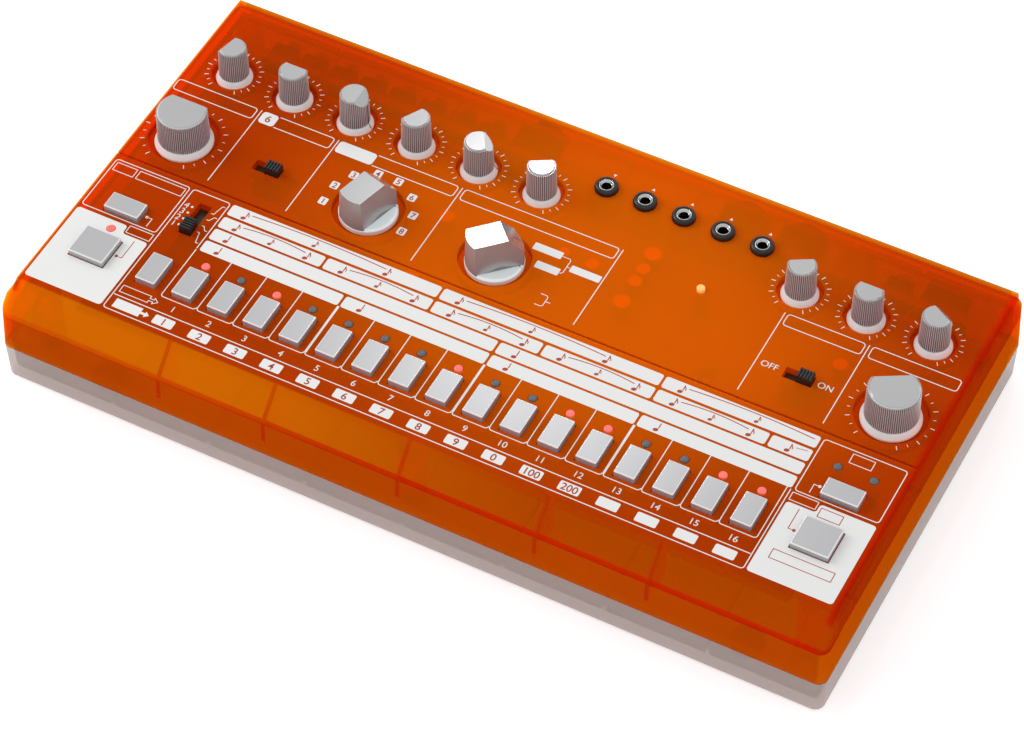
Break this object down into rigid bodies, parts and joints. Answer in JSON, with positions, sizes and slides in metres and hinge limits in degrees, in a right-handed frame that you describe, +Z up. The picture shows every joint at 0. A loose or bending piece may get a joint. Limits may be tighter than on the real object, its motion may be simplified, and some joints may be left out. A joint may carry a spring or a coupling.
{
  "type": "drum machine",
  "caption": "Flat table-top drum machine: translucent orange case on a frosted base, fluted knobs in round wells, a row of step keys, slide switches and patch jacks.",
  "frame": {"origin": "under the middle of the bounding box, at the underside of the rubber feet", "axes": "+X to the player's right along the longest side, +Y to the rear connectors, +Z up"},
  "size_m": [0.305, 0.165, 0.0541],
  "materials": {
    "top_shell": "translucent orange moulding, semi-gloss",
    "bottom_shell": "frosted clear moulding",
    "rubber": "matt",
    "board": "glass laminate, brown mask",
    "black_plastic": "satin black",
    "steel": "zinc plated",
    "capacitor_cans": "bare can tops",
    "led_lens": "diffused lens",
    "nickel": "nickel plated",
    "knob_grey": "silver-grey, satin",
    "key_grey": "light grey, satin"
  },
  "bodies": {
    "case": {"top_case": "top_shell", "bottom_case": "bottom_shell", "rubber_feet": "rubber", "main_board": "board", "io_board": "board", "board_link": "black_plastic", "board_screws": "steel", "case_screws": "steel", "capacitors": "capacitor_cans", "potentiometers": "black_plastic", "rotary_switches": "black_plastic", "key_switches": "black_plastic", "leds": "led_lens", "slide_switches": "steel", "patch_jacks": "nickel", "patch_jack_collars": "black_plastic", "voice_jacks": "black_plastic", "mix_jack": "black_plastic", "midi_sockets": "black_plastic", "usb_socket": "nickel", "dc_socket": "black_plastic", "power_switch": "black_plastic"},
    "instrument_selector": {"instrument_selector": "knob_grey"},
    "mode_selector": {"mode_selector": "knob_grey"},
    "tempo_knob": {"tempo_knob": "knob_grey"},
    "volume_knob": {"volume_knob": "knob_grey"},
    "accent_knob": {"accent_knob": "knob_grey"},
    "bass_drum_knob": {"bass_drum_knob": "knob_grey"},
    "snare_drum_knob": {"snare_drum_knob": "knob_grey"},
    "tom_knob": {"tom_knob": "knob_grey"},
    "cymbal_knob": {"cymbal_knob": "knob_grey"},
    "hi_hat_knob": {"hi_hat_knob": "knob_grey"},
    "distortion_knob": {"distortion_knob": "knob_grey"},
    "tone_knob": {"tone_knob": "knob_grey"},
    "level_knob": {"level_knob": "knob_grey"},
    "select_switch_cap": {"select_switch_cap": "black_plastic"},
    "distortion_switch_cap": {"distortion_switch_cap": "black_plastic"},
    "scale_switch_cap": {"scale_switch_cap": "black_plastic"},
    "power_rocker": {"power_rocker": "black_plastic"},
    "start_stop_key": {"start_stop_key": "key_grey"},
    "write_next_key": {"write_next_key": "key_grey"},
    "clear_key": {"clear_key": "key_grey"},
    "pattern_group_key": {"pattern_group_key": "key_grey"},
    "function_key": {"function_key": "key_grey"},
    "step_key_01": {"step_key_01": "key_grey"},
    "step_key_02": {"step_key_02": "key_grey"},
    "step_key_03": {"step_key_03": "key_grey"},
    "step_key_04": {"step_key_04": "key_grey"},
    "step_key_05": {"step_key_05": "key_grey"},
    "step_key_06": {"step_key_06": "key_grey"},
    "step_key_07": {"step_key_07": "key_grey"},
    "step_key_08": {"step_key_08": "key_grey"},
    "step_key_09": {"step_key_09": "key_grey"},
    "step_key_10": {"step_key_10": "key_grey"},
    "step_key_11": {"step_key_11": "key_grey"},
    "step_key_12": {"step_key_12": "key_grey"},
    "step_key_13": {"step_key_13": "key_grey"},
    "step_key_14": {"step_key_14": "key_grey"},
    "step_key_15": {"step_key_15": "key_grey"},
    "step_key_16": {"step_key_16": "key_grey"}
  },
  "joints": [
    {"name": "instrument_selector_turn", "type": "hinge", "parent": "case", "child": "instrument_selector", "pos_m": [-0.0605, 0.00903, 0.0411], "axis": [0, 0, -1], "range_deg": [-120, 90]},
    {"name": "mode_selector_turn", "type": "hinge", "parent": "case", "child": "mode_selector", "pos_m": [-0.0121, 0.00903, 0.0411], "axis": [0, 0, -1], "range_deg": [0, 90]},
    {"name": "tempo_turn", "type": "hinge", "parent": "case", "child": "tempo_knob", "pos_m": [-0.1331, 0.00903, 0.0411], "axis": [0, 0, -1], "range_deg": [-150, 150]},
    {"name": "volume_turn", "type": "hinge", "parent": "case", "child": "volume_knob", "pos_m": [0.1331, 0.00903, 0.0411], "axis": [0, 0, -1], "range_deg": [-120, 180]},
    {"name": "accent_turn", "type": "hinge", "parent": "case", "child": "accent_knob", "pos_m": [-0.1331, 0.0434, 0.0411], "axis": [0, 0, -1], "range_deg": [-72, 228]},
    {"name": "bass_drum_turn", "type": "hinge", "parent": "case", "child": "bass_drum_knob", "pos_m": [-0.1089, 0.0434, 0.0411], "axis": [0, 0, -1], "range_deg": [-150, 150]},
    {"name": "snare_drum_turn", "type": "hinge", "parent": "case", "child": "snare_drum_knob", "pos_m": [-0.0847, 0.0434, 0.0411], "axis": [0, 0, -1], "range_deg": [-240, 60]},
    {"name": "tom_turn", "type": "hinge", "parent": "case", "child": "tom_knob", "pos_m": [-0.0605, 0.0434, 0.0411], "axis": [0, 0, -1], "range_deg": [-90, 210]},
    {"name": "cymbal_turn", "type": "hinge", "parent": "case", "child": "cymbal_knob", "pos_m": [-0.0363, 0.0434, 0.0411], "axis": [0, 0, -1], "range_deg": [-210, 90]},
    {"name": "hi_hat_turn", "type": "hinge", "parent": "case", "child": "hi_hat_knob", "pos_m": [-0.0121, 0.0434, 0.0411], "axis": [0, 0, -1], "range_deg": [-120, 180]},
    {"name": "distortion_turn", "type": "hinge", "parent": "case", "child": "distortion_knob", "pos_m": [0.0847, 0.0434, 0.0411], "axis": [0, 0, -1], "range_deg": [-120, 180]},
    {"name": "tone_turn", "type": "hinge", "parent": "case", "child": "tone_knob", "pos_m": [0.1089, 0.0434, 0.0411], "axis": [0, 0, -1], "range_deg": [-150, 150]},
    {"name": "level_turn", "type": "hinge", "parent": "case", "child": "level_knob", "pos_m": [0.1331, 0.0434, 0.0411], "axis": [0, 0, -1], "range_deg": [-180, 120]},
    {"name": "select_slide", "type": "slide", "parent": "case", "child": "select_switch_cap", "axis": [-1, 0, 0], "range_m": [0, 0.0046]},
    {"name": "distortion_slide", "type": "slide", "parent": "case", "child": "distortion_switch_cap", "axis": [-1, 0, 0], "range_m": [0, 0.0046]},
    {"name": "scale_slide", "type": "slide", "parent": "case", "child": "scale_switch_cap", "axis": [0, 1, 0], "range_m": [0, 0.0089]},
    {"name": "power_rock", "type": "hinge", "parent": "case", "child": "power_rocker", "pos_m": [0.1265, 0.07615, 0.0237], "axis": [-1, 0, 0], "range_deg": [0, 14]},
    {"name": "start_stop_key_press", "type": "slide", "parent": "case", "child": "start_stop_key", "axis": [0, 0, -1], "range_m": [0, 0.0005], "stiffness_N_per_m": 400, "springref_m": -0.001},
    {"name": "write_next_key_press", "type": "slide", "parent": "case", "child": "write_next_key", "axis": [0, 0, -1], "range_m": [0, 0.0005], "stiffness_N_per_m": 400, "springref_m": -0.001},
    {"name": "clear_key_press", "type": "slide", "parent": "case", "child": "clear_key", "axis": [0, 0, -1], "range_m": [0, 0.0005], "stiffness_N_per_m": 400, "springref_m": -0.001},
    {"name": "pattern_group_key_press", "type": "slide", "parent": "case", "child": "pattern_group_key", "axis": [0, 0, -1], "range_m": [0, 0.0005], "stiffness_N_per_m": 400, "springref_m": -0.001},
    {"name": "function_key_press", "type": "slide", "parent": "case", "child": "function_key", "axis": [0, 0, -1], "range_m": [0, 0.0005], "stiffness_N_per_m": 400, "springref_m": -0.001},
    {"name": "step_key_01_press", "type": "slide", "parent": "case", "child": "step_key_01", "axis": [0, 0, -1], "range_m": [0, 0.0005], "stiffness_N_per_m": 400, "springref_m": -0.001},
    {"name": "step_key_02_press", "type": "slide", "parent": "case", "child": "step_key_02", "axis": [0, 0, -1], "range_m": [0, 0.0005], "stiffness_N_per_m": 400, "springref_m": -0.001},
    {"name": "step_key_03_press", "type": "slide", "parent": "case", "child": "step_key_03", "axis": [0, 0, -1], "range_m": [0, 0.0005], "stiffness_N_per_m": 400, "springref_m": -0.001},
    {"name": "step_key_04_press", "type": "slide", "parent": "case", "child": "step_key_04", "axis": [0, 0, -1], "range_m": [0, 0.0005], "stiffness_N_per_m": 400, "springref_m": -0.001},
    {"name": "step_key_05_press", "type": "slide", "parent": "case", "child": "step_key_05", "axis": [0, 0, -1], "range_m": [0, 0.0005], "stiffness_N_per_m": 400, "springref_m": -0.001},
    {"name": "step_key_06_press", "type": "slide", "parent": "case", "child": "step_key_06", "axis": [0, 0, -1], "range_m": [0, 0.0005], "stiffness_N_per_m": 400, "springref_m": -0.001},
    {"name": "step_key_07_press", "type": "slide", "parent": "case", "child": "step_key_07", "axis": [0, 0, -1], "range_m": [0, 0.0005], "stiffness_N_per_m": 400, "springref_m": -0.001},
    {"name": "step_key_08_press", "type": "slide", "parent": "case", "child": "step_key_08", "axis": [0, 0, -1], "range_m": [0, 0.0005], "stiffness_N_per_m": 400, "springref_m": -0.001},
    {"name": "step_key_09_press", "type": "slide", "parent": "case", "child": "step_key_09", "axis": [0, 0, -1], "range_m": [0, 0.0005], "stiffness_N_per_m": 400, "springref_m": -0.001},
    {"name": "step_key_10_press", "type": "slide", "parent": "case", "child": "step_key_10", "axis": [0, 0, -1], "range_m": [0, 0.0005], "stiffness_N_per_m": 400, "springref_m": -0.001},
    {"name": "step_key_11_press", "type": "slide", "parent": "case", "child": "step_key_11", "axis": [0, 0, -1], "range_m": [0, 0.0005], "stiffness_N_per_m": 400, "springref_m": -0.001},
    {"name": "step_key_12_press", "type": "slide", "parent": "case", "child": "step_key_12", "axis": [0, 0, -1], "range_m": [0, 0.0005], "stiffness_N_per_m": 400, "springref_m": -0.001},
    {"name": "step_key_13_press", "type": "slide", "parent": "case", "child": "step_key_13", "axis": [0, 0, -1], "range_m": [0, 0.0005], "stiffness_N_per_m": 400, "springref_m": -0.001},
    {"name": "step_key_14_press", "type": "slide", "parent": "case", "child": "step_key_14", "axis": [0, 0, -1], "range_m": [0, 0.0005], "stiffness_N_per_m": 400, "springref_m": -0.001},
    {"name": "step_key_15_press", "type": "slide", "parent": "case", "child": "step_key_15", "axis": [0, 0, -1], "range_m": [0, 0.0005], "stiffness_N_per_m": 400, "springref_m": -0.001},
    {"name": "step_key_16_press", "type": "slide", "parent": "case", "child": "step_key_16", "axis": [0, 0, -1], "range_m": [0, 0.0005], "stiffness_N_per_m": 400, "springref_m": -0.001}
  ]
}
